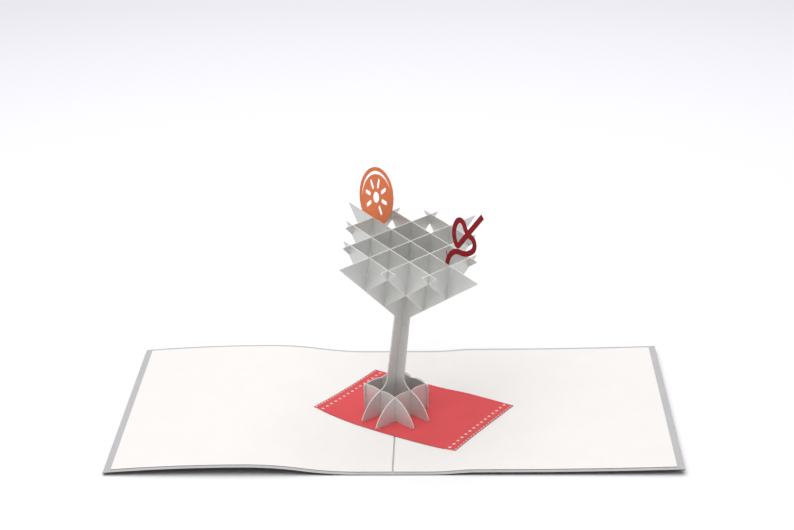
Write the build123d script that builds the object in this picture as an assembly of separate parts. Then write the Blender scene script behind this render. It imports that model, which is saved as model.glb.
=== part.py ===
from build123d import *
import os
from math import cos, radians, sin

# A pop up card lying open, with a cocktail glass of crossing slices standing on its spine.
# Millimetres, +Z up. The origin is under the middle of the spine, +Y runs along the spine.

os.makedirs("parts", exist_ok=True)

# Cover and the white panels glued on its leaves
leaf_width = 150.0
spine_length = 150.0
cover_thickness = 0.45
panel_thickness = 0.3
panel_side_margin = 3.8
panel_end_margin = 2.5
spine_gap = 0.9
glue_gap = 0.08

# How the open leaves spring up from the flat strip at the spine
flat_half_width = 18.0
left_crest_reach = 76.0
left_crest_height = 4.3
left_edge_lift = 1.25
right_shelf_reach = 46.0
right_shelf_height = 1.35
right_edge_lift = 2.9

# Red mat with a row of holes along each short side
mat_length = 92.0
mat_width = 60.1
mat_thickness = 0.3
mat_center_x = 9.6
mat_center_y = -1.6
mat_turn = -32.2
mat_front_bow = 2.4
hole_diameter = 1.7
hole_sides = 8
hole_bridge = 2.45
hole_inset = 4.7

# Slices in both parts of the glass
slice_thickness = 0.45
slot_clearance = 0.25
lap_slack = 0.6

# Foot: three slices each way, the outer ones with a petal at one end
foot_pitch = 11.75
foot_half_angle = 45.0
wall_height = 14.2
wall_bulge = 0.8
wall_corner_radius = 1.2
corner_margin = 1.4
outer_petal_reach = 14.9
middle_petal_reach = 14.3
petal_bulge = 2.6
petal_tip_radius = 1.1
flare_height = 5.5
flare_bulge = 0.9
tab_width = 6.0
tab_clearance = 0.2
petal_tab_offset = 5.5

# Stem, which leans and twists from the foot's angle to the bowl's
stem_foot_width = 13.0
stem_top_width = 14.1
stem_length = 37.8
stem_lean = 6.6
lap_rise = 2.0

# Bowl: five slices each way under a straight rim
bowl_pitch = 18.0
bowl_half_angle = 54.3
rim_half_length = 61.0
bowl_depth = 47.2
bowl_tip_radius = 0.4

# Orange slice and straw, both cut from card and glued behind the middle slice of set a
orange_radius = 16.0
orange_rise = 11.7
orange_place = -37.4
orange_lean = 3.5
orange_core_radius = 3.0
orange_core_drop = 0.5
orange_slit_count = 7
orange_slit_step = 45.0
orange_slit_length = 5.7
orange_slit_width = 2.2
orange_slit_radius = 7.9
crescent_outer_radius = 13.9
crescent_inner_radius = 13.6
crescent_shift = 1.5
crescent_angle = 120.0
straddle_slack = 0.3
garnish_thickness = 0.45
garnish_gap = 0.1
straw_width = 2.9
straw_start = (31.4, -7.0)
straw_heading = 80.0
straw_first_run = 8.9
straw_bends = [
    (10.0, -77.2), (14.8, 43.4), (3.9, 131.6), (7.8, -56.6), (3.8, 112.7), (8.8, 87.5), (1.4, 91.8),
]
straw_last_run = 26.9
straw_barb_root = (32.8, 2.4)
straw_barb_tip = (30.8, 6.7)
straw_barb_width = 1.0

# Heights of the layers, each a glue line above the one below
panel_bottom = cover_thickness + glue_gap
mat_bottom = panel_bottom + panel_thickness + glue_gap
foot_bottom = mat_bottom + mat_thickness + glue_gap
stem_bottom = foot_bottom + wall_height + flare_height
tab_depth = foot_bottom - panel_bottom

bowl_slope = bowl_depth / rim_half_length
rim_height = stem_length + (rim_half_length - stem_top_width / 2) * bowl_slope
garnish_depth = slice_thickness / 2 + garnish_gap + garnish_thickness / 2
bowl_frame = Location((0, 0, stem_bottom)) * Location((0, 0, 0), (0, stem_lean, 0))

# Each set runs at its half angle to +X: set a to the front right, set b to the back right
SET_SIDE = {"a": -1, "b": 1}
BOWL_ROWS = (-2, -1, 0, 1, 2)
FOOT_ROWS = (-1, 1)
pieces = {}


def slot_width(half_angle):
    """Width of a slot that takes a slice crossing at twice the half angle."""
    crossing = radians(180 - 2 * half_angle)
    return slice_thickness * (1 + cos(crossing)) / sin(crossing) + slot_clearance


def slice_plane(set_name, half_angle, offset, height):
    """Plane of one slice: local x along the slice, local y up."""
    own = radians(SET_SIDE[set_name] * half_angle)
    run = Vector(cos(own), sin(own), 0)
    across = Vector(cos(own), -sin(own), 0)
    return Plane(origin=across * offset + Vector(0, 0, height), x_dir=run, z_dir=run.cross(Vector(0, 0, 1)))


def bulged_arc(start, end, bulge):
    """Arc from start to end that stands bulge to the left of its chord."""
    chord = Vector(end) - Vector(start)
    middle = (Vector(start) + Vector(end)) * 0.5
    left = Vector(-chord.Y, chord.X, 0).normalized()
    return ThreePointArc(start, middle + left * bulge, end)


def upright_slot(place, low, high, width):
    """Slot in a slice, between two heights."""
    return Pos(place, (low + high) / 2) * Rectangle(width, high - low)


# Card layers

def rise(start, end):
    """Two tangent arcs from one height to another, level at both ends."""
    middle = (Vector(start) + Vector(end)) * 0.5
    way = (end[0] - start[0], 0)
    back = (start[0] - end[0], 0)
    return TangentArc(start, middle, tangent=way), TangentArc(end, middle, tangent=back)


def card_layer(bottom, thickness):
    """A sheet as wide as the open card, following its spring, with its underside at this height."""
    left_crest = (-left_crest_reach, left_crest_height)
    right_shelf = (right_shelf_reach, right_shelf_height)
    lower = Curve() + [
        TangentArc(left_crest, (-leaf_width, left_edge_lift), tangent=(-1, 0)),
        *rise((-flat_half_width, 0), left_crest),
        Line((-flat_half_width, 0), (flat_half_width, 0)),
        *rise((flat_half_width, 0), right_shelf),
        TangentArc(right_shelf, (leaf_width, right_edge_lift), tangent=(1, 0)),
    ]
    upper = Pos(0, thickness) * lower
    ends = Curve() + [
        Line((-leaf_width, left_edge_lift), (-leaf_width, left_edge_lift + thickness)),
        Line((leaf_width, right_edge_lift), (leaf_width, right_edge_lift + thickness)),
    ]
    section = Pos(0, bottom) * make_face(lower + upper + ends)
    return extrude(Plane.XZ * section, spine_length / 2, both=True)


def panel(side):
    """White panel on one leaf, short of the cover's edges and of the spine."""
    inner = spine_gap / 2
    outer = leaf_width - panel_side_margin
    area = Pos(side * (inner + outer) / 2, 0) * Rectangle(outer - inner, spine_length - 2 * panel_end_margin)
    return card_layer(panel_bottom, panel_thickness) & extrude(area, leaf_width, both=True)


def mat():
    """Mat turned over the spine, with a bowed front edge and as many holes as its width takes."""
    reach = mat_length / 2
    side = mat_width / 2
    bow = bulged_arc((-reach, -side), (reach, -side), -mat_front_bow)
    sides = Polyline((reach, -side), (reach, side), (-reach, side), (-reach, -side))
    outline = make_face(Curve() + [bow, sides])
    pitch = hole_diameter + hole_bridge
    row = GridLocations(0, pitch, 1, int(mat_width // pitch))
    for end in (-1, 1):
        place = Pos(end * (reach - hole_inset), 0)
        outline -= place * row * RegularPolygon(hole_diameter / 2, hole_sides)
    outline = Pos(mat_center_x, mat_center_y) * Rot(0, 0, mat_turn) * outline
    return card_layer(mat_bottom, mat_thickness) & extrude(outline, leaf_width, both=True)


# Foot

def middle_foot_face(set_name):
    """Foot of a middle slice: two petals, and the flare up to the stem."""
    tip = foot_pitch + middle_petal_reach
    half_stem = stem_foot_width / 2
    top = wall_height + flare_height
    outline = [
        Line((-tip, 0), (tip, 0)),
        bulged_arc((tip, 0), (foot_pitch, wall_height), -petal_bulge),
        bulged_arc((foot_pitch, wall_height), (half_stem, top), flare_bulge),
        Line((half_stem, top), (-half_stem, top)),
        bulged_arc((-half_stem, top), (-foot_pitch, wall_height), flare_bulge),
        bulged_arc((-foot_pitch, wall_height), (-tip, 0), -petal_bulge),
    ]
    face = make_face(Curve() + outline)
    corners = face.vertices().sort_by(Axis.X)
    face = fillet([corners[0], corners[-1]], petal_tip_radius)
    width = slot_width(foot_half_angle)
    for place in (-foot_pitch, foot_pitch):
        if set_name == "a":
            face -= upright_slot(place, wall_height / 2 - lap_slack, 2 * wall_height, width)
        else:
            face -= upright_slot(place, -wall_height, wall_height / 2 + lap_slack, width)
    if set_name == "b":
        face -= upright_slot(0, -wall_height, 2 * top, slot_width(bowl_half_angle))
    return face


def outer_foot_face(set_name):
    """Outer foot slice: a wall from the corner post to the far post, and a petal beyond it."""
    tip = foot_pitch + outer_petal_reach
    plain = -foot_pitch - corner_margin
    outline = [
        Line((plain, 0), (tip, 0)),
        bulged_arc((tip, 0), (foot_pitch, wall_height), -petal_bulge),
        bulged_arc((foot_pitch, wall_height), (0, wall_height), -wall_bulge),
        bulged_arc((0, wall_height), (-foot_pitch, wall_height), -wall_bulge),
        Polyline((-foot_pitch, wall_height), (plain, wall_height), (plain, 0)),
    ]
    face = make_face(Curve() + outline)
    face = fillet(face.vertices().sort_by(Axis.X)[-1], petal_tip_radius)
    face = fillet(face.vertices().group_by(Axis.X)[0].sort_by(Axis.Y)[-1], wall_corner_radius)
    width = slot_width(foot_half_angle)
    for place in (-foot_pitch, 0, foot_pitch):
        if set_name == "a":
            face -= upright_slot(place, wall_height / 2 - lap_slack, 2 * wall_height, width)
        else:
            face -= upright_slot(place, -wall_height, wall_height / 2 + lap_slack, width)
    return face


def tab_places(row):
    """Where the tabs of a foot slice stand along it, for the middle slice and the outer ones."""
    petal_tab = foot_pitch + petal_tab_offset
    if row == 0:
        return (-petal_tab, petal_tab)
    return (-foot_pitch / 2, petal_tab)


def foot_blade(set_name, row):
    """Foot slice with its tabs, standing on the mat, and the slits that its tabs go through."""
    plane = slice_plane(set_name, foot_half_angle, row * foot_pitch, foot_bottom)
    face = middle_foot_face(set_name) if row == 0 else outer_foot_face(set_name)
    slits = Sketch()
    for place in tab_places(row):
        face += upright_slot(place, -tab_depth, 0, tab_width)
        slits += upright_slot(place, -2 * foot_bottom, foot_bottom, tab_width + tab_clearance)
    if row > 0:
        face = mirror(face, Plane.YZ)
        slits = mirror(slits, Plane.YZ)
    blade = extrude(plane * face, slice_thickness / 2, both=True)
    cutter = extrude(plane * slits, (slice_thickness + tab_clearance) / 2, both=True)
    return blade, cutter


# Bowl

def bowl_face(set_name, row):
    """Slice of the bowl: a straight rim and a V below it, cut for the slices that cross it."""
    half_length = rim_half_length - abs(row) * bowl_pitch
    depth = half_length * bowl_slope
    if row == 0:
        bottom = [(-stem_top_width / 2, stem_length), (stem_top_width / 2, stem_length)]
    else:
        bottom = [(0, rim_height - depth)]
    face = make_face(Polyline(*bottom, (half_length, rim_height), (-half_length, rim_height), close=True))
    face = fillet(face.vertices().group_by(Axis.Y)[-1], bowl_tip_radius)
    for crossing in BOWL_ROWS:
        local_depth = depth - abs(crossing) * bowl_pitch * bowl_slope
        if local_depth <= 0:
            continue
        lap = rim_height - local_depth / 2
        if row == 0 and crossing == 0:
            lap = stem_length + lap_rise
        low = lap - lap_slack if set_name == "a" else 0
        high = 2 * rim_height if set_name == "a" else lap + lap_slack
        face -= upright_slot(crossing * bowl_pitch, low, high, slot_width(bowl_half_angle))
    return face


def bowl_blade(set_name, row):
    """Bowl slice in the leaning frame of the bowl."""
    plane = slice_plane(set_name, bowl_half_angle, row * bowl_pitch, 0)
    return bowl_frame * extrude(plane * bowl_face(set_name, row), slice_thickness / 2, both=True)


def stem_strip(set_name, foot_span, top_span):
    """Strip of the stem between two places across it, twisted from the foot to the bowl."""
    side = SET_SIDE[set_name]
    ends = []
    for frame, half_angle, (low, high) in (
        (Pos(0, 0, stem_bottom), foot_half_angle, foot_span),
        (bowl_frame * Pos(0, 0, stem_length), bowl_half_angle, top_span),
    ):
        section = Pos((low + high) / 2, 0) * Rectangle(high - low, slice_thickness)
        ends.append((frame * Rot(0, 0, side * half_angle) * section).face())
    return loft(ends, ruled=True)


def middle_slice(set_name):
    """Whole middle slice in one sheet: foot, twisted stem and bowl. Set b is slotted up to the lap."""
    foot, slits = foot_blade(set_name, 0)
    foot_edge = stem_foot_width / 2
    top_edge = stem_top_width / 2
    slot_edge = slot_width(bowl_half_angle) / 2
    if set_name == "a":
        stem = [stem_strip("a", (-foot_edge, foot_edge), (-top_edge, top_edge))]
    else:
        stem = [
            stem_strip("b", (-foot_edge, -slot_edge), (-top_edge, -slot_edge)),
            stem_strip("b", (slot_edge, foot_edge), (slot_edge, top_edge)),
        ]
    return foot.fuse(*stem, bowl_blade(set_name, 0)).clean(), slits


# Garnish, in the plane just behind the middle slice of set a

def garnish(face, height, lean=0):
    """Cut card shape set behind the middle slice of set a, leaning back from this height."""
    sheet = extrude(face, garnish_thickness / 2, both=True)
    plane = slice_plane("a", bowl_half_angle, 0, height)
    return bowl_frame * plane.location * Pos(0, 0, -garnish_depth) * Rot(-lean, 0, 0) * sheet


def orange_face():
    """Round slice with a core hole, seven slits, a crescent under the rind and a slit over set b."""
    core = Pos(0, -orange_core_drop)
    face = Circle(orange_radius) - core * Circle(orange_core_radius)
    slit = Pos(orange_slit_radius, 0) * SlotOverall(orange_slit_length, orange_slit_width)
    for number in range(orange_slit_count):
        face -= core * Rot(0, 0, orange_slit_step * (number - 1)) * slit
    shift = Rot(0, 0, crescent_angle) * Pos(-crescent_shift, 0)
    face -= Circle(crescent_outer_radius) - shift * Circle(crescent_inner_radius)
    crossing = radians(180 - 2 * bowl_half_angle)
    slit_place = -2 * bowl_pitch - garnish_depth * cos(crossing) / sin(crossing) - orange_place
    slit_top = straddle_slack - orange_rise
    face -= upright_slot(slit_place, -2 * orange_radius, slit_top, slot_width(bowl_half_angle))
    return face


def orange_slice():
    """Orange slice leaning back behind the rim, where it straddles the last slice of set b."""
    face = Pos(orange_place, orange_radius) * orange_face()
    return garnish(face, rim_height + orange_rise - orange_radius, orange_lean)


def curly_straw():
    """Straw cut as one stroke: up from behind the rim, round the bends, and straight to its end."""
    runs = [PolarLine(straw_start, straw_first_run, angle=straw_heading)]
    for radius, turn in straw_bends:
        runs.append(JernArc(start=runs[-1] @ 1, tangent=runs[-1] % 1, radius=radius, arc_size=turn))
    runs.append(PolarLine(runs[-1] @ 1, straw_last_run, direction=runs[-1] % 1))
    face = Sketch()
    for run in runs:
        face += trace(run, straw_width)
    root_x, root_y = straw_barb_root
    half_root = straw_barb_width / 2
    face += make_face(
        Polyline((root_x, root_y - half_root), (root_x, root_y + half_root), straw_barb_tip, close=True)
    )
    return garnish(face, rim_height)


slits = []
for set_name in ("a", "b"):
    pieces[f"glass_slice_{set_name}"], cutter = middle_slice(set_name)
    slits.append(cutter)
    for number, row in enumerate(FOOT_ROWS, 1):
        pieces[f"foot_slice_{set_name}{number}"], cutter = foot_blade(set_name, row)
        slits.append(cutter)
    for number, row in enumerate((row for row in BOWL_ROWS if row != 0), 1):
        pieces[f"bowl_slice_{set_name}{number}"] = bowl_blade(set_name, row)
pieces["orange_slice"] = orange_slice()
pieces["curly_straw"] = curly_straw()
pieces["outer_cover"] = card_layer(0, cover_thickness)
pieces["inner_panel_left"] = panel(-1).cut(*slits)
pieces["inner_panel_right"] = panel(1).cut(*slits)
pieces["red_mat"] = mat().cut(*slits)

for name, piece in pieces.items():
    export_step(piece, f"parts/{name}.step")
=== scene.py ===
"""The looks of a pop up card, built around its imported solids.

The card lies open, and a cocktail glass of crossing card slices stands on its spine over a red mat.
The slices, the orange and the straw are the solids themselves with their finish. The cover, the two
panels and the mat are sheets made here, bent to the line that the cover's solid gives.
"""

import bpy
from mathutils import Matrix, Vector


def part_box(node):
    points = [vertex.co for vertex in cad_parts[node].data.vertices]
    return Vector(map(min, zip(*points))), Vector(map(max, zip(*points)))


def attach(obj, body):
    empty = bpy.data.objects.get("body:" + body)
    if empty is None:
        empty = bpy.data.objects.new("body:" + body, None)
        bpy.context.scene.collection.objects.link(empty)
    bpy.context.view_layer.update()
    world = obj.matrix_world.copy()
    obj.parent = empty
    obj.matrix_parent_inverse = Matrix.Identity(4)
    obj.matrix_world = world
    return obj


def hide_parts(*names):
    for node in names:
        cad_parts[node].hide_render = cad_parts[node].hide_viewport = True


bl_info = {
    "name": "Pop Up Card",
    "version": (1, 0, 0),
    "blender": (4, 5, 0),
    "location": "View3D > Sidebar > Card",
    "description": "Builds the sheets, finishes and studio of an open pop up card",
    "category": "Object",
}

import math
from typing import NamedTuple

import bmesh
import bpy
import numpy as np
from bpy.props import FloatProperty, FloatVectorProperty, IntProperty, PointerProperty
from mathutils import Matrix, Vector

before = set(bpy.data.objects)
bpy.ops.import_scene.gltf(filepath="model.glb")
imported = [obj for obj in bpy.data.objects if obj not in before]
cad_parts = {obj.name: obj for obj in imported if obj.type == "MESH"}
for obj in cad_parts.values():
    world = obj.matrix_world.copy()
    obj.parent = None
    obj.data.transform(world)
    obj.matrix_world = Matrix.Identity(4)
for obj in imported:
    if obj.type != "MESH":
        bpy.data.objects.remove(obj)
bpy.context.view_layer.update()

MM = 0.001
BODY = "root"
BOWL_SLICES = {"a": ("a1", "a2", "a3", "a4"), "b": ("b1", "b2", "b3", "b4")}
FOOT_SLICES = {"a": ("a1", "a2"), "b": ("b1", "b2")}

# Reading and cutting the sheets
SAME_PLACE = 0.01 * MM
LEVEL_RISE = 1e-6
TAB_REACH = 8 * MM
SLIT_TOOL_HEIGHT = 4 * MM
PUNCH_DEPTH = 6 * MM
PUNCH_SIDES = 20
SHORTEST_EDGE = 1e-6
SHARP_ANGLE = math.radians(25)

# Patterns of the papers, in repeats to the metre
CLOUD_SCALE = 45
THREAD_SCALE = 900
CROSS_THREAD_SCALE = 1100
TOOTH_SCALE = 2600
CUT_FIBRE_SCALE = 1500
FLAKE_SCALE = 1500

# Most values of a noise lie between these two
NOISE_LOW, NOISE_HIGH = 0.3, 0.7

# Shares that make up the papers' shading and bump
CUT_MOTTLE = 0.12
ROUGHNESS_SPREAD = 0.06
THREAD_HEIGHT, TOOTH_HEIGHT = 0.6, 0.4
BUMP_STRENGTH = 0.35
PAPER_SPECULAR, PEARL_SPECULAR = 0.15, 0.5
PEARL_METALLIC = 0.5

# How squarely a point has to look along a sheet's face direction to count as its face and not its cut edge
EDGE_UP_TO, FACE_FROM = 0.55, 0.75

# A normal whose Z is below this looks down
LOOKS_DOWN = -0.5

# The cover's cut edge goes over to painted shade on its lower part, the dark line under the card's front edge,
# between these shares of its thickness
LIGHT_EDGE_FROM, SHADED_EDGE_UP_TO = 0.98, 0.84

# Brown ticks on the paper between the slots of the mat
TICK_FADE = 0.25 * MM
TICK_REACH = 0.35 * MM
TICK_STRENGTH = 0.8

# The walls of the mat's holes and slots are pale from this many hole diameters inside the row of holes, to
# this share of the slots' inset from the mat's end
DARK_INSIDE, PALE_INSIDE = 1.0, 0.7
PALE_AT_END, DARK_AT_END = 1 / 3, 1 / 4

# Studio
BACKGROUND = (0.83, 0.82, 0.87)
FLOOR_BOUNCE = (0.9, 0.9, 0.9)
FLOOR_BY_CARD = (1.03, 1.03, 1.04)
FLOOR_AWAY = (1.05, 1.04, 1.1)
HORIZON_START, HORIZON_END = 1.3, 2.6
GLASS_MIDDLE = (0, 0, 0.04)
KEY_LAMP_PLACE, KEY_LAMP_SIZE = (-0.2, -0.35, 1.15), (1.3, 1.3)
BACK_LAMP_PLACE, BACK_LAMP_SIZE = (0.05, 0.5, 1.15), (1.3, 1.0)
SENSOR_WIDTH = 36
NEAREST_SEEN, FARTHEST_SEEN = 0.05, 50


class Finish(NamedTuple):
    """Surface of a paper or card: how rough it is, how much it mottles and shows its fibres, how deep its
    grain is in millimetres, and how much it glitters.
    """

    roughness: float
    mottle: float
    fibre: float
    grain: float
    pearl: float = 0.0


GREY_CARD = Finish(roughness=0.75, mottle=0.03, fibre=0.05, grain=0.03)
WHITE_PAPER = Finish(roughness=0.85, mottle=0.008, fibre=0.012, grain=0.02)
RED_PAPER = Finish(roughness=0.7, mottle=0.035, fibre=0.05, grain=0.025)
PEARL_CARD = Finish(roughness=0.5, mottle=0.015, fibre=0.018, grain=0.01, pearl=0.02)
ORANGE_PAPER = Finish(roughness=0.7, mottle=0.06, fibre=0.06, grain=0.02)
BURGUNDY_PAPER = Finish(roughness=0.6, mottle=0.06, fibre=0.06, grain=0.02)


# Settings

def length(name, description, default, low=0.0):
    """A length that the sidebar shows in scene units."""
    return FloatProperty(
        name=name, description=description, default=default, min=low, subtype="DISTANCE", unit="LENGTH",
    )


def colour(name, description, default):
    """A colour that the sidebar shows as a swatch."""
    return FloatVectorProperty(
        name=name, description=description, default=default, min=0, max=1, size=3, subtype="COLOR",
    )


def angle(name, description, degrees):
    """An angle that the sidebar shows in degrees."""
    return FloatProperty(
        name=name, description=description, default=math.radians(degrees), subtype="ANGLE", unit="ROTATION",
    )


class CardSheetSettings(bpy.types.PropertyGroup):
    """Sizes of the cover, the panels and the mat that the solids don't give."""

    strip_width: length("Strip width", "Width of the strips that a sheet bends in", 2.5 * MM, 0.5 * MM)
    crease_half_width: length("Crease half width", "From the fold line to where the cover is flat", 0.45 * MM)
    crease_depth: length("Crease depth", "How deep the cover's fold line is pressed", 0.12 * MM)
    tab_clearance: length("Tab clearance", "Room round each tab in its slit", 0.1 * MM)
    bow_points: IntProperty(
        name="Bow points", description="Runs along the mat's bowed front edge", default=24, min=2,
    )
    hole_diameter: length("Hole diameter", "Width of each round hole of the mat", 1.8 * MM)
    hole_pitch: length("Hole pitch", "From one hole to the next", 4.0 * MM)
    hole_inset: length("Hole inset", "From the mat's end to its row of holes", 4.7 * MM)
    slot_length: length("Slot length", "Size of each edge slot along the mat's end", 1.95 * MM)
    slot_depth: length("Slot depth", "Size of each edge slot across the mat's end", 0.8 * MM)
    slot_pitch: length("Slot pitch", "From one edge slot to the next", 2.58 * MM)
    slot_inset: length("Slot inset", "From the mat's end to its row of slots", 0.75 * MM)


class CardColourSettings(bpy.types.PropertyGroup):
    """Colours of the papers and cards."""

    cover: colour("Cover", "Grey card of the folded cover", (0.55, 0.54, 0.555))
    cover_edge: colour("Cover edge", "Cut edge of the cover", (0.72, 0.7, 0.715))
    # The dark outer face is painted shade that darkens the gap under the raised leaf
    cover_outside_shade: colour("Cover outside", "Outer face of the cover", (0.1, 0.1, 0.1))
    # Painted shade on the lower part of the cover's cut edge, for the dark line under the card's front edge
    cover_edge_shade: colour("Cover under edge", "Lower part of the cover's cut edge", (0.04, 0.04, 0.04))
    panel: colour("Panel", "White panels inside the cover", (0.955, 0.925, 0.905))
    # The panels' cut edge colour is partly their own and partly painted shade, the thin dark line along their
    # front edges
    panel_edge_and_shade: colour("Panel edge", "Cut edge of the panels", (0.5, 0.47, 0.41))
    mat: colour("Mat", "Red paper of the mat", (0.76, 0.095, 0.104))
    # The dark brown of the mat's cut edges is partly the cut paper's own and partly painted shade, the thin dark
    # line under the mat's edge; it also colours the brown ticks between the slots
    mat_edge_and_shade: colour("Mat edge", "Singed cut edge of the mat", (0.33, 0.1, 0.08))
    mat_wall: colour("Mat hole walls", "Walls of the mat's holes and slots", (0.93, 0.5, 0.46))
    slice: colour("Slices", "Pearl grey card of the glass", (0.73, 0.74, 0.72))
    slice_edge: colour("Slice edge", "Pale cut edge of the slices", (0.84, 0.81, 0.74))
    orange: colour("Orange", "Paper of the orange slice", (0.9, 0.24, 0.098))
    orange_edge: colour("Orange edge", "Cut edge of the orange slice", (0.86, 0.34, 0.2))
    straw: colour("Straw", "Burgundy paper of the straw", (0.31, 0.012, 0.021))
    straw_edge: colour("Straw edge", "Cut edge of the straw", (0.22, 0.02, 0.025))


class CardStudioSettings(bpy.types.PropertyGroup):
    """Camera, lamps and floor."""

    focal: FloatProperty(
        name="Focal length", description="Lens length in millimetres", default=82.39, min=10,
    )
    camera_place: FloatVectorProperty(
        name="Camera place", description="Where the camera stands", default=(0.03088, -0.89865, 0.45559),
        subtype="TRANSLATION", unit="LENGTH",
    )
    yaw: angle("Yaw", "Turn of the camera to the right", -1.86)
    pitch: angle("Pitch", "How far down the camera looks", 22.33)
    roll: angle("Roll", "Tilt of the picture", -0.96)
    sky_low: FloatProperty(
        name="Low sky", description="Strength of the light from the horizon", default=0.12, min=0,
    )
    sky_high: FloatProperty(
        name="High sky", description="Strength of the light from overhead", default=0.62, min=0,
    )
    key: FloatProperty(
        name="Key lamp", description="Power of the lamp above the front left", default=7.1, min=0, unit="POWER",
    )
    back: FloatProperty(
        name="Back lamp", description="Power of the lamp above and behind", default=5.3, min=0, unit="POWER",
    )
    floor_size: length("Floor size", "Width of the floor", 8.0)
    floor_near: length("Floor near", "Where the floor's colour starts to change, from the card's middle", 0.05)
    floor_far: length("Floor far", "Where the floor has its outer colour, from the card's middle", 0.6)


# Reading the solids

def corners_of(node):
    """Corner points of a solid, as an array of rows."""
    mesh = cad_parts[node].data
    points = np.empty(len(mesh.vertices) * 3, np.float32)
    mesh.vertices.foreach_get("co", points)
    return points.reshape(-1, 3).astype(float)


def cover_line():
    """Top line of the cover's front edge: distances across the card, rise above the spine and slopes."""
    points = corners_of("outer_cover")
    front = points[points[:, 1] < points[:, 1].min() + SAME_PLACE]
    xs = np.unique(front[:, 0].round(6))
    tops = np.array([front[np.abs(front[:, 0] - x) < SAME_PLACE, 2].max() for x in xs])
    chords = np.diff(tops) / np.diff(xs)
    slopes = np.zeros_like(xs)
    for i in range(1, len(xs) - 1):
        if chords[i - 1] * chords[i] > 0:
            slopes[i] = 2 * chords[i - 1] * chords[i] / (chords[i - 1] + chords[i])
    slopes[0], slopes[-1] = chords[0], chords[-1]
    return xs, tops - tops.min(), slopes


LINE_X, LINE_RISE, LINE_SLOPE = cover_line()
FLAT_HALF_WIDTH = float(LINE_X[LINE_RISE < LEVEL_RISE].max())


def rise_at(x):
    """How far the open card has lifted at this distance from its spine, on a smooth line."""
    i = int(np.clip(np.searchsorted(LINE_X, x) - 1, 0, len(LINE_X) - 2))
    step = LINE_X[i + 1] - LINE_X[i]
    t = (min(max(x, LINE_X[0]), LINE_X[-1]) - LINE_X[i]) / step
    start = (1 + 2 * t) * (1 - t) ** 2 * LINE_RISE[i] + t * (1 - t) ** 2 * step * LINE_SLOPE[i]
    end = t * t * (3 - 2 * t) * LINE_RISE[i + 1] + t * t * (t - 1) * step * LINE_SLOPE[i + 1]
    return start + end


def layer_heights(node):
    """Underside and top of a sheet where it lies flat on the spine."""
    points = corners_of(node)
    flat = points[np.abs(points[:, 0]) < FLAT_HALF_WIDTH + SAME_PLACE, 2]
    return float(flat.min()), float(flat.max())


def tab_footprints():
    """Centre, direction, half length and half width of each tab that goes down through the mat."""
    found = []
    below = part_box("red_mat")[0].z - SAME_PLACE
    for set_name, numbers in FOOT_SLICES.items():
        for node in [f"glass_slice_{set_name}"] + [f"foot_slice_{n}" for n in numbers]:
            points = corners_of(node)
            low = np.unique(points[points[:, 2] < below][:, :2].round(6), axis=0)
            while len(low):
                near = np.linalg.norm(low - low[0], axis=1) < TAB_REACH
                tab, low = low[near], low[~near]
                centre = tab.mean(0)
                way = np.linalg.svd(tab - centre)[2][0]
                across = np.array([-way[1], way[0]])
                half_length = np.abs((tab - centre) @ way).max()
                half_width = np.abs((tab - centre) @ across).max()
                found.append((centre, way, half_length, half_width))
    return found


# Making sheets

def sheet(outline, low, high):
    """Flat sheet of paper with this outline, between two heights, as a mesh under edit."""
    made = bmesh.new()
    base = made.faces.new([made.verts.new((x, y, low)) for x, y in outline])
    top = bmesh.ops.extrude_face_region(made, geom=[base])
    raised = [v for v in top["geom"] if isinstance(v, bmesh.types.BMVert)]
    bmesh.ops.translate(made, verts=raised, vec=(0, 0, high - low))
    bmesh.ops.recalc_face_normals(made, faces=made.faces)
    return made


def sheet_over(node):
    """Flat sheet as long and wide as a solid that lies square to the card, and its two heights."""
    (left, front, _), (right, back, _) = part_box(node)
    bottom, top = layer_heights(node)
    outline = [(left, front), (right, front), (right, back), (left, back)]
    return sheet(outline, bottom, top), bottom, top


def object_from(edit, name):
    """Scene object that holds this mesh."""
    mesh = bpy.data.meshes.new(name)
    edit.to_mesh(mesh)
    edit.free()
    made = bpy.data.objects.new(name, mesh)
    bpy.context.scene.collection.objects.link(made)
    return made


def settle(made):
    """Turn what the modifiers give into the object's own mesh, and take them off."""
    bpy.context.view_layer.update()
    shape = bpy.data.meshes.new_from_object(made.evaluated_get(bpy.context.evaluated_depsgraph_get()))
    made.modifiers.clear()
    old, made.data = made.data, shape
    shape.name = made.name
    bpy.data.meshes.remove(old)


def cut_tab_slits(made, clearance):
    """Cut the slits that the tabs of the slices go through."""
    cutters = bmesh.new()
    for centre, way, half_length, half_width in tab_footprints():
        turn = Matrix.Rotation(math.atan2(way[1], way[0]), 4, "Z")
        size = (2 * (half_length + clearance), 2 * (half_width + clearance), SLIT_TOOL_HEIGHT, 1)
        place = Matrix.Translation((*centre, 0)) @ turn @ Matrix.Diagonal(size)
        bmesh.ops.create_cube(cutters, size=1, matrix=place)
    tool = object_from(cutters, "tab_slits")
    cut = made.modifiers.new("tab_slits", "BOOLEAN")
    cut.object = tool
    cut.solver = "EXACT"
    settle(made)
    bpy.data.objects.remove(tool)


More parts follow.
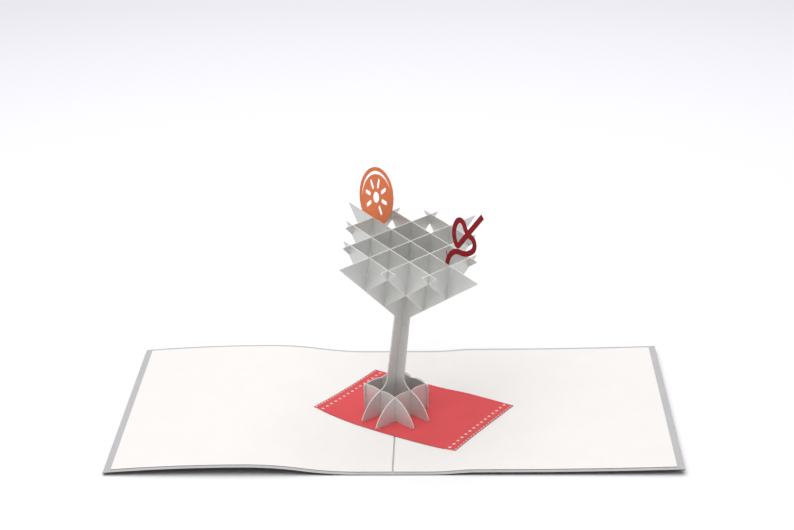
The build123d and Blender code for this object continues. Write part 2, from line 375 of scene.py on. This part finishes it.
def bend(made, strip, more_lines=()):
    """Cut a flat sheet into strips across the card and lift them with the cover's line.

    Each point keeps its place between the sheet's underside and top in the attribute layer.
    """
    edit = bmesh.new()
    edit.from_mesh(made.data)
    layer = edit.verts.layers.float.new("layer")
    bottom, top = min(v.co.z for v in edit.verts), max(v.co.z for v in edit.verts)
    low, high = min(v.co.x for v in edit.verts), max(v.co.x for v in edit.verts)
    lines = list(np.arange(math.ceil(low / strip) * strip, high, strip)) + list(more_lines)
    for x in sorted(lines):
        everything = edit.verts[:] + edit.edges[:] + edit.faces[:]
        bmesh.ops.bisect_plane(edit, geom=everything, plane_co=(x, 0, 0), plane_no=(1, 0, 0))
    for v in edit.verts:
        v[layer] = (v.co.z - bottom) / (top - bottom)
        v.co.z += rise_at(v.co.x)
    bmesh.ops.dissolve_degenerate(edit, dist=SHORTEST_EDGE, edges=edit.edges)
    edit.to_mesh(made.data)
    edit.free()


def finish_sheet(made, node):
    """Round the bend's shading, put the sheet on its body and let it stand for its solid."""
    made.data.shade_smooth()
    made.data.set_sharp_from_angle(angle=SHARP_ANGLE)
    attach(made, BODY)
    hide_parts(node)


# Node helpers

def add(tree, kind, values=None, links=None, **attributes):
    """New node with its attributes, socket values and the sockets that feed it."""
    made = tree.nodes.new(kind)
    for name, value in attributes.items():
        setattr(made, name, value)
    for socket, value in (values or {}).items():
        made.inputs[socket].default_value = value
    for socket, source in (links or {}).items():
        tree.links.new(source, made.inputs[socket])
    return made


def math_node(tree, operation, first, second=None, third=None):
    """Result of one sum on sockets or numbers."""
    made = tree.nodes.new("ShaderNodeMath")
    made.operation = operation
    for i, value in enumerate((first, second, third)):
        if value is None:
            continue
        if isinstance(value, bpy.types.NodeSocket):
            tree.links.new(value, made.inputs[i])
        else:
            made.inputs[i].default_value = value
    return made.outputs[0]


def mix(tree, factor, first, second, blend="MIX"):
    """Mix of two colours, each a socket or a colour."""
    made = tree.nodes.new("ShaderNodeMix")
    made.data_type = "RGBA"
    made.blend_type = blend
    for socket, value in (("Factor_Float", factor), ("A_Color", first), ("B_Color", second)):
        entry = next(s for s in made.inputs if s.identifier == socket)
        if isinstance(value, bpy.types.NodeSocket):
            tree.links.new(value, entry)
        elif socket == "Factor_Float":
            entry.default_value = value
        else:
            entry.default_value = (*value[:3], 1)
    return next(s for s in made.outputs if s.identifier == "Result_Color")


def fade(tree, value, start, end):
    """Smooth step from 0 at start to 1 at end."""
    ends = {"From Min": start, "From Max": end}
    made = add(tree, "ShaderNodeMapRange", ends, {"Value": value}, interpolation_type="SMOOTHSTEP")
    return made.outputs["Result"]


def noise(tree, where, scale, detail=3.0, stretch=(1, 1, 1), turn=(0, 0, 0)):
    """Noise in the object's own space, stretched and turned where the grain is."""
    mapping = add(tree, "ShaderNodeMapping", {"Scale": stretch, "Rotation": turn}, {"Vector": where})
    pattern = {"Scale": scale, "Detail": detail, "Roughness": 0.55}
    return add(tree, "ShaderNodeTexNoise", pattern, {"Vector": mapping.outputs[0]}).outputs["Fac"]


def shade(tree, base, value, depth):
    """Colour made lighter and darker by a noise, by this share."""
    ends = {"From Min": NOISE_LOW, "From Max": NOISE_HIGH, "To Min": 1 - depth, "To Max": 1 + depth}
    grey = add(tree, "ShaderNodeMapRange", ends, {"Value": value})
    return mix(tree, 1.0, base, grey.outputs["Result"], "MULTIPLY")


def card_material(name, base, edge, face_normals, finish, extra=None, edge_extra=None):
    """Paper or card: fibres, a soft mottle, a fine bump, and another colour on its cut edges.

    face_normals are the directions that its flat faces look in. extra may change the colour on them, and
    edge_extra the colour of the cut edges.
    """
    material = bpy.data.materials.new(name)
    material.use_nodes = True
    tree = material.node_tree
    shader = tree.nodes["Principled BSDF"]
    place = add(tree, "ShaderNodeTexCoord")
    where = place.outputs["Object"]
    clouds = noise(tree, where, CLOUD_SCALE, detail=2)
    threads = noise(tree, where, THREAD_SCALE, detail=4, stretch=(1, 0.22, 1), turn=(0, 0, 0.6))
    crossing = noise(tree, where, CROSS_THREAD_SCALE, detail=4, stretch=(0.2, 1, 1), turn=(0, 0, -0.35))
    tooth = noise(tree, where, TOOTH_SCALE, detail=2)

    fibres = math_node(tree, "MULTIPLY_ADD", threads, 0.5, math_node(tree, "MULTIPLY", crossing, 0.5))
    flat = shade(tree, shade(tree, base, clouds, finish.mottle), fibres, finish.fibre)
    if finish.pearl:
        flakes = add(tree, "ShaderNodeTexVoronoi", {"Scale": FLAKE_SCALE}, {"Vector": where})
        flat = shade(tree, flat, flakes.outputs["Color"], finish.pearl)
    if extra:
        flat = extra(tree, where, flat)

    facing = None
    for normal in face_normals:
        dot = add(tree, "ShaderNodeVectorMath", {1: normal}, {0: place.outputs["Normal"]}, operation="DOT_PRODUCT")
        size = math_node(tree, "ABSOLUTE", dot.outputs["Value"])
        facing = size if facing is None else math_node(tree, "MAXIMUM", facing, size)
    cut = shade(tree, edge, noise(tree, where, CUT_FIBRE_SCALE), CUT_MOTTLE)
    if edge_extra:
        cut = edge_extra(tree, where, cut)
    tree.links.new(mix(tree, fade(tree, facing, EDGE_UP_TO, FACE_FROM), cut, flat), shader.inputs["Base Color"])

    ends = {"To Min": finish.roughness - ROUGHNESS_SPREAD, "To Max": finish.roughness + ROUGHNESS_SPREAD}
    rough = add(tree, "ShaderNodeMapRange", ends, {"Value": threads})
    tree.links.new(rough.outputs["Result"], shader.inputs["Roughness"])
    thread_height = math_node(tree, "MULTIPLY", threads, THREAD_HEIGHT)
    height = math_node(tree, "ADD", thread_height, math_node(tree, "MULTIPLY", tooth, TOOTH_HEIGHT))
    depths = {"Strength": BUMP_STRENGTH, "Distance": finish.grain * MM}
    bump = add(tree, "ShaderNodeBump", depths, {"Height": height})
    tree.links.new(bump.outputs["Normal"], shader.inputs["Normal"])
    shader.inputs["Specular IOR Level"].default_value = PEARL_SPECULAR if finish.pearl else PAPER_SPECULAR
    shader.inputs["Metallic"].default_value = PEARL_METALLIC if finish.pearl else 0
    return material


def show_material(made, material):
    """Give an object this one material."""
    made.data.materials.clear()
    made.data.materials.append(material)


# Cover and panels

class CARD_OT_cover(bpy.types.Operator):
    """Make the folded cover, with its fold line pressed in along the spine"""

    bl_idname = "card.cover"
    bl_label = "Make Cover"

    def execute(self, context):
        sizes, colours = context.scene.card_sheets, context.scene.card_colours
        flat, bottom, top = sheet_over("outer_cover")
        made = object_from(flat, "cover")
        reach = sizes.crease_half_width
        bend(made, sizes.strip_width, (-reach, -reach / 2, reach / 2, reach))
        for v in made.data.vertices:
            if abs(v.co.x) < reach and v.co.z > (bottom + top) / 2:
                v.co.z -= sizes.crease_depth * (1 - abs(v.co.x) / reach)

        def outside(tree, where, inner):
            """The outer face of the cover, which looks down, is painted dark as shade for the gap under the raised
            leaf.
            """
            normal = add(tree, "ShaderNodeTexCoord").outputs["Normal"]
            up = add(tree, "ShaderNodeSeparateXYZ", links={"Vector": normal}).outputs["Z"]
            return mix(tree, math_node(tree, "LESS_THAN", up, LOOKS_DOWN), inner, colours.cover_outside_shade)

        def under_edge(tree, where, cut):
            """The lower part of the cut edge is painted as dark as the outer face, as shade under the card's front
            edge.
            """
            height = add(tree, "ShaderNodeAttribute", attribute_name="layer").outputs["Fac"]
            lower = fade(tree, height, LIGHT_EDGE_FROM, SHADED_EDGE_UP_TO)
            return mix(tree, lower, cut, colours.cover_edge_shade)

        show_material(made, card_material(
            "grey_card", colours.cover, colours.cover_edge, [(0, 0, 1)], GREY_CARD,
            extra=outside, edge_extra=under_edge,
        ))
        finish_sheet(made, "outer_cover")
        return {"FINISHED"}


class CARD_OT_panels(bpy.types.Operator):
    """Make the two white panels glued on the cover's leaves, with their slits for the tabs"""

    bl_idname = "card.panels"
    bl_label = "Make Panels"

    def execute(self, context):
        sizes, colours = context.scene.card_sheets, context.scene.card_colours
        paper = card_material("white_paper", colours.panel, colours.panel_edge_and_shade, [(0, 0, 1)], WHITE_PAPER)
        for side in ("left", "right"):
            flat, _, _ = sheet_over(f"inner_panel_{side}")
            made = object_from(flat, f"panel_{side}")
            cut_tab_slits(made, sizes.tab_clearance)
            bend(made, sizes.strip_width)
            show_material(made, paper)
            finish_sheet(made, f"inner_panel_{side}")
        return {"FINISHED"}


# Mat

def mat_frame():
    """Centre, turn, length, width and front bow of the mat, from its solid's corners."""
    points = corners_of("red_mat")[:, :2]
    left, right = points[points[:, 0].argmin()], points[points[:, 0].argmax()]
    front, back = points[points[:, 1].argmin()], points[points[:, 1].argmax()]
    along = (front - left) / np.linalg.norm(front - left)
    outward = np.array([along[1], -along[0]])
    bow = float(((points - left) @ outward).max())
    centre = (left + right) / 2
    turn = math.atan2(along[1], along[0])
    return centre, turn, np.linalg.norm(front - left), np.linalg.norm(back - left), bow


def bowed_outline(long, wide, bow, count):
    """Rectangle about the origin whose front side is an arc that stands out by bow."""
    radius = (long * long / 4 + bow * bow) / (2 * bow)
    half = math.asin(long / 2 / radius)
    points = []
    for i in range(count + 1):
        along = half * (2 * i / count - 1)
        points.append((radius * math.sin(along), -wide / 2 - bow + radius * (1 - math.cos(along))))
    return points + [(long / 2, wide / 2), (-long / 2, wide / 2)]


def punch_tree():
    """Geometry nodes that punch a row of holes and a row of slots along both ends of a flat sheet."""
    tree = bpy.data.node_groups.new("punched_rows", "GeometryNodeTree")
    face = tree.interface
    face.new_socket("Geometry", in_out="INPUT", socket_type="NodeSocketGeometry")
    lengths = (
        "Reach", "Hole Diameter", "Hole Pitch", "Hole Inset",
        "Slot Length", "Slot Depth", "Slot Pitch", "Slot Inset",
    )
    for name in lengths:
        face.new_socket(name, in_out="INPUT", socket_type="NodeSocketFloat")
    for name in ("Hole Count", "Slot Count"):
        face.new_socket(name, in_out="INPUT", socket_type="NodeSocketInt")
    face.new_socket("Material", in_out="INPUT", socket_type="NodeSocketMaterial")
    face.new_socket("Geometry", in_out="OUTPUT", socket_type="NodeSocketGeometry")
    given = add(tree, "NodeGroupInput").outputs

    def row(punch, count, pitch, inset):
        """Punches at both ends, spread evenly about the middle."""
        halves = math_node(tree, "MULTIPLY", math_node(tree, "SUBTRACT", given[count], 1), -0.5)
        first = add(tree, "ShaderNodeCombineXYZ", links={
            "X": math_node(tree, "SUBTRACT", given["Reach"], given[inset]),
            "Y": math_node(tree, "MULTIPLY", halves, given[pitch]),
        })
        step = add(tree, "ShaderNodeCombineXYZ", links={"Y": given[pitch]})
        line = add(tree, "GeometryNodeMeshLine", links={
            "Count": given[count], "Start Location": first.outputs[0], "Offset": step.outputs[0],
        })
        placed = add(tree, "GeometryNodeInstanceOnPoints", links={
            "Points": line.outputs[0], "Instance": punch,
        }).outputs[0]
        half_turn = {"Rotation": (0, 0, math.pi)}
        return placed, add(tree, "GeometryNodeTransform", half_turn, {"Geometry": placed}).outputs[0]

    round_punch = add(tree, "GeometryNodeMeshCylinder", {"Vertices": PUNCH_SIDES, "Depth": PUNCH_DEPTH}, {
        "Radius": math_node(tree, "MULTIPLY", given["Hole Diameter"], 0.5),
    })
    slot_size = add(tree, "ShaderNodeCombineXYZ", {"Z": PUNCH_DEPTH}, {
        "X": given["Slot Depth"], "Y": given["Slot Length"],
    })
    slot_punch = add(tree, "GeometryNodeMeshCube", links={"Size": slot_size.outputs[0]})
    punches = add(tree, "GeometryNodeJoinGeometry")
    for rows in (
        row(round_punch.outputs["Mesh"], "Hole Count", "Hole Pitch", "Hole Inset"),
        row(slot_punch.outputs["Mesh"], "Slot Count", "Slot Pitch", "Slot Inset"),
    ):
        for one in rows:
            tree.links.new(one, punches.inputs[0])
    tools = add(tree, "GeometryNodeRealizeInstances", links={"Geometry": punches.outputs[0]})
    cut = add(tree, "GeometryNodeMeshBoolean", operation="DIFFERENCE", links={
        "Mesh 1": given["Geometry"], "Mesh 2": tools.outputs[0],
    })
    real = add(tree, "GeometryNodeRealizeInstances", links={"Geometry": cut.outputs["Mesh"]})
    coloured = add(tree, "GeometryNodeSetMaterial", links={
        "Geometry": real.outputs[0], "Material": given["Material"],
    })
    add(tree, "NodeGroupOutput", links={"Geometry": coloured.outputs[0]})
    return tree


def mat_axes(tree, where, centre, turn):
    """Distances along and across the mat from its centre, as sockets. The first has no sign."""
    placed = {"Location": (*centre, 0), "Rotation": (0, 0, turn)}
    local = add(tree, "ShaderNodeMapping", placed, {"Vector": where}, vector_type="TEXTURE")
    axes = add(tree, "ShaderNodeSeparateXYZ", links={"Vector": local.outputs[0]})
    return math_node(tree, "ABSOLUTE", axes.outputs["X"]), axes.outputs["Y"]


def brown_slot_ticks(long, wide, sizes, centre, turn, brown):
    """Shading that puts brown ticks on the red paper between the slots of its ends."""

    def extra(tree, where, flat):
        end, side = mat_axes(tree, where, centre, turn)
        half_pitch = sizes.slot_pitch / 2
        shift = 0 if int(wide // sizes.slot_pitch) % 2 == 0 else half_pitch
        from_web = math_node(tree, "PINGPONG", math_node(tree, "ADD", side, shift), half_pitch)
        web = (sizes.slot_pitch - sizes.slot_length) / 2
        tick = fade(tree, from_web, web + TICK_FADE, web)
        middle = long / 2 - sizes.slot_inset
        row = fade(tree, end, middle - sizes.slot_depth / 2 - TICK_REACH, middle)
        brown_ticks = math_node(tree, "MULTIPLY", math_node(tree, "MULTIPLY", tick, row), TICK_STRENGTH)
        return mix(tree, brown_ticks, flat, brown)

    return extra


def pale_walls(long, sizes, centre, turn, pale):
    """Shading that makes the walls of the holes and slots pale, where the white panel shines on them."""

    def extra(tree, where, cut):
        end, _ = mat_axes(tree, where, centre, turn)
        holes, hole = long / 2 - sizes.hole_inset, sizes.hole_diameter
        inner = fade(tree, end, holes - hole * DARK_INSIDE, holes - hole * PALE_INSIDE)
        slots = sizes.slot_inset
        outer = fade(tree, end, long / 2 - slots * DARK_AT_END, long / 2 - slots * PALE_AT_END)
        return mix(tree, math_node(tree, "MULTIPLY", inner, outer), cut, pale)

    return extra


class CARD_OT_mat(bpy.types.Operator):
    """Make the red mat, punch its rows of holes and slots, and lay it over the spine"""

    bl_idname = "card.mat"
    bl_label = "Make Mat"

    def execute(self, context):
        sizes, colours = context.scene.card_sheets, context.scene.card_colours
        centre, turn, long, wide, bow = mat_frame()
        bottom, top = layer_heights("red_mat")
        made = object_from(sheet(bowed_outline(long, wide, bow, sizes.bow_points), bottom, top), "mat")
        paper = card_material(
            "red_paper", colours.mat, colours.mat_edge_and_shade, [(0, 0, 1)], RED_PAPER,
            extra=brown_slot_ticks(long, wide, sizes, centre, turn, colours.mat_edge_and_shade),
            edge_extra=pale_walls(long, sizes, centre, turn, colours.mat_wall),
        )
        punch = made.modifiers.new("punched_rows", "NODES")
        punch.node_group = punch_tree()
        given = {
            "Reach": long / 2,
            "Hole Diameter": sizes.hole_diameter, "Hole Pitch": sizes.hole_pitch, "Hole Inset": sizes.hole_inset,
            "Slot Length": sizes.slot_length, "Slot Depth": sizes.slot_depth,
            "Slot Pitch": sizes.slot_pitch, "Slot Inset": sizes.slot_inset,
            "Hole Count": int(wide // sizes.hole_pitch), "Slot Count": int(wide // sizes.slot_pitch),
            "Material": paper,
        }
        for entry in punch.node_group.interface.items_tree:
            if entry.in_out == "INPUT" and entry.name in given:
                punch[entry.identifier] = given[entry.name]
        settle(made)
        made.data.transform(Matrix.Translation((*centre, 0)) @ Matrix.Rotation(turn, 4, "Z"))
        cut_tab_slits(made, sizes.tab_clearance)
        bend(made, sizes.strip_width)
        show_material(made, paper)
        finish_sheet(made, "red_mat")
        return {"FINISHED"}


# Glass and garnish

def blade_normals(set_name):
    """Directions that the faces of one set look in, read from its foot slice and its bowl slice."""
    normals = []
    for node in (f"foot_slice_{set_name}1", f"bowl_slice_{set_name}1"):
        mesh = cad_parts[node].data
        largest = max(mesh.polygons, key=lambda p: p.area)
        normals.append(tuple(largest.normal))
    return normals


class CARD_OT_glass(bpy.types.Operator):
    """Give the slices of the glass their pearl card, with pale cut edges"""

    bl_idname = "card.glass"
    bl_label = "Finish Glass"

    def execute(self, context):
        colours = context.scene.card_colours
        for set_name in BOWL_SLICES:
            pearl_card = card_material(
                f"pearl_card_{set_name}", colours.slice, colours.slice_edge, blade_normals(set_name), PEARL_CARD,
            )
            names = [f"glass_slice_{set_name}"]
            names += [f"bowl_slice_{n}" for n in BOWL_SLICES[set_name]]
            names += [f"foot_slice_{n}" for n in FOOT_SLICES[set_name]]
            for name in names:
                show_material(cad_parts[name], pearl_card)
        return {"FINISHED"}


class CARD_OT_garnish(bpy.types.Operator):
    """Give the orange slice and the straw their papers"""

    bl_idname = "card.garnish"
    bl_label = "Finish Garnish"

    def execute(self, context):
        colours = context.scene.card_colours
        leaning = blade_normals("a")[1:]
        orange = card_material("orange_paper", colours.orange, colours.orange_edge, leaning, ORANGE_PAPER)
        straw = card_material("burgundy_paper", colours.straw, colours.straw_edge, leaning, BURGUNDY_PAPER)
        show_material(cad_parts["orange_slice"], orange)
        show_material(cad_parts["curly_straw"], straw)
        return {"FINISHED"}


# Studio

def camera_turn(yaw, pitch, roll):
    """Rotation of the camera: its right, up and backward directions as columns."""
    ahead = Vector((math.sin(yaw) * math.cos(pitch), math.cos(yaw) * math.cos(pitch), -math.sin(pitch)))
    level = Vector((math.cos(yaw), -math.sin(yaw), 0))
    up = level.cross(ahead)
    right = math.cos(roll) * level + math.sin(roll) * up
    over = -math.sin(roll) * level + math.cos(roll) * up
    return Matrix((right, over, -ahead)).transposed()


def lamp(name, power, size, place):
    """Large soft lamp that looks at the glass."""
    light = bpy.data.lights.new(name, "AREA")
    light.energy = power
    light.shape = "RECTANGLE"
    light.size, light.size_y = size
    made = bpy.data.objects.new(name, light)
    bpy.context.scene.collection.objects.link(made)
    made.location = place
    made.rotation_euler = (Vector(place) - Vector(GLASS_MIDDLE)).to_track_quat("Z", "Y").to_euler()


def seen_directly(tree):
    """1 for what the camera or a glossy surface sees, and 0 for light that reaches other surfaces."""
    path = add(tree, "ShaderNodeLightPath")
    return math_node(tree, "MAXIMUM", path.outputs["Is Camera Ray"], path.outputs["Is Glossy Ray"])


def floor_material(near, far):
    """White floor that keeps its shadows near the card and goes over into the background far from it."""
    material = bpy.data.materials.new("studio_white")
    material.use_nodes = True
    tree = material.node_tree
    tree.nodes.clear()
    seen = seen_directly(tree)
    place = add(tree, "ShaderNodeTexCoord").outputs["Object"]
    away = add(tree, "ShaderNodeVectorMath", links={0: place}, operation="LENGTH").outputs["Value"]
    shown = mix(tree, fade(tree, away, near, far), FLOOR_BY_CARD, FLOOR_AWAY)
    white = add(tree, "ShaderNodeBsdfDiffuse", links={"Color": mix(tree, seen, FLOOR_BOUNCE, shown)})
    air = add(tree, "ShaderNodeEmission", {"Color": (*BACKGROUND, 1)})
    distant = math_node(tree, "MULTIPLY", seen, fade(tree, away, HORIZON_START * far, HORIZON_END * far))
    both = add(tree, "ShaderNodeMixShader", links={0: distant, 1: white.outputs[0], 2: air.outputs[0]})
    add(tree, "ShaderNodeOutputMaterial", links={"Surface": both.outputs[0]})
    return material


def studio_air(low, high):
    """World that shows the plain background and lights the card from its sky, most from overhead."""
    world = bpy.data.worlds.new("studio_air")
    world.use_nodes = True
    tree = world.node_tree
    tree.nodes.clear()
    direction = add(tree, "ShaderNodeTexCoord").outputs["Generated"]
    height = add(tree, "ShaderNodeSeparateXYZ", links={"Vector": direction}).outputs["Z"]
    strength = add(tree, "ShaderNodeMapRange", {"To Min": low, "To Max": high}, {"Value": height})
    sky = add(tree, "ShaderNodeBackground", {"Color": (1, 1, 1, 1)}, {"Strength": strength.outputs["Result"]})
    background = add(tree, "ShaderNodeBackground", {"Color": (*BACKGROUND, 1), "Strength": 1})
    both = add(tree, "ShaderNodeMixShader", links={
        0: seen_directly(tree), 1: sky.outputs[0], 2: background.outputs[0],
    })
    add(tree, "ShaderNodeOutputWorld", links={"Surface": both.outputs[0]})
    return world


class CARD_OT_studio(bpy.types.Operator):
    """Set up the white floor, the soft lamps and the camera"""

    bl_idname = "card.studio"
    bl_label = "Set Up Studio"

    def execute(self, context):
        scene, studio = context.scene, context.scene.card_studio
        edit = bmesh.new()
        bmesh.ops.create_grid(edit, x_segments=1, y_segments=1, size=studio.floor_size / 2)
        floor = object_from(edit, "studio_floor")
        show_material(floor, floor_material(studio.floor_near, studio.floor_far))

        scene.world = studio_air(studio.sky_low, studio.sky_high)
        lamp("key_lamp", studio.key, KEY_LAMP_SIZE, KEY_LAMP_PLACE)
        lamp("back_lamp", studio.back, BACK_LAMP_SIZE, BACK_LAMP_PLACE)

        view = bpy.data.cameras.new("camera")
        view.lens = studio.focal
        view.sensor_width = SENSOR_WIDTH
        view.clip_start, view.clip_end = NEAREST_SEEN, FARTHEST_SEEN
        camera = bpy.data.objects.new("camera", view)
        scene.collection.objects.link(camera)
        turn = camera_turn(studio.yaw, studio.pitch, studio.roll).to_4x4()
        camera.matrix_world = Matrix.Translation(studio.camera_place) @ turn
        scene.camera = camera
        scene.view_settings.view_transform = "Standard"
        return {"FINISHED"}


class CARD_PT_sidebar(bpy.types.Panel):
    """Steps and settings of the card"""

    bl_idname = "CARD_PT_sidebar"
    bl_label = "Pop Up Card"
    bl_space_type = "VIEW_3D"
    bl_region_type = "UI"
    bl_category = "Card"

    def draw(self, context):
        for step in STEPS:
            self.layout.operator(step.bl_idname)
        for group in GROUPS:
            settings = getattr(context.scene, group)
            box = self.layout.box()
            for name in settings.__annotations__:
                box.prop(settings, name)


STEPS = (CARD_OT_cover, CARD_OT_panels, CARD_OT_mat, CARD_OT_glass, CARD_OT_garnish, CARD_OT_studio)
GROUPS = {
    "card_sheets": CardSheetSettings, "card_colours": CardColourSettings, "card_studio": CardStudioSettings,
}


def register():
    """Make the settings, the steps and the sidebar known to Blender."""
    for item in (*GROUPS.values(), *STEPS, CARD_PT_sidebar):
        bpy.utils.register_class(item)
    for name, group in GROUPS.items():
        setattr(bpy.types.Scene, name, PointerProperty(type=group))


def unregister():
    """Take them all away again, in the opposite order."""
    for name in GROUPS:
        delattr(bpy.types.Scene, name)
    for item in reversed((*GROUPS.values(), *STEPS, CARD_PT_sidebar)):
        bpy.utils.unregister_class(item)


def main():
    """Run every step in order."""
    register()
    for step in STEPS:
        group, name = step.bl_idname.split(".")
        getattr(getattr(bpy.ops, group), name)()


if __name__ == "__main__":
    main()
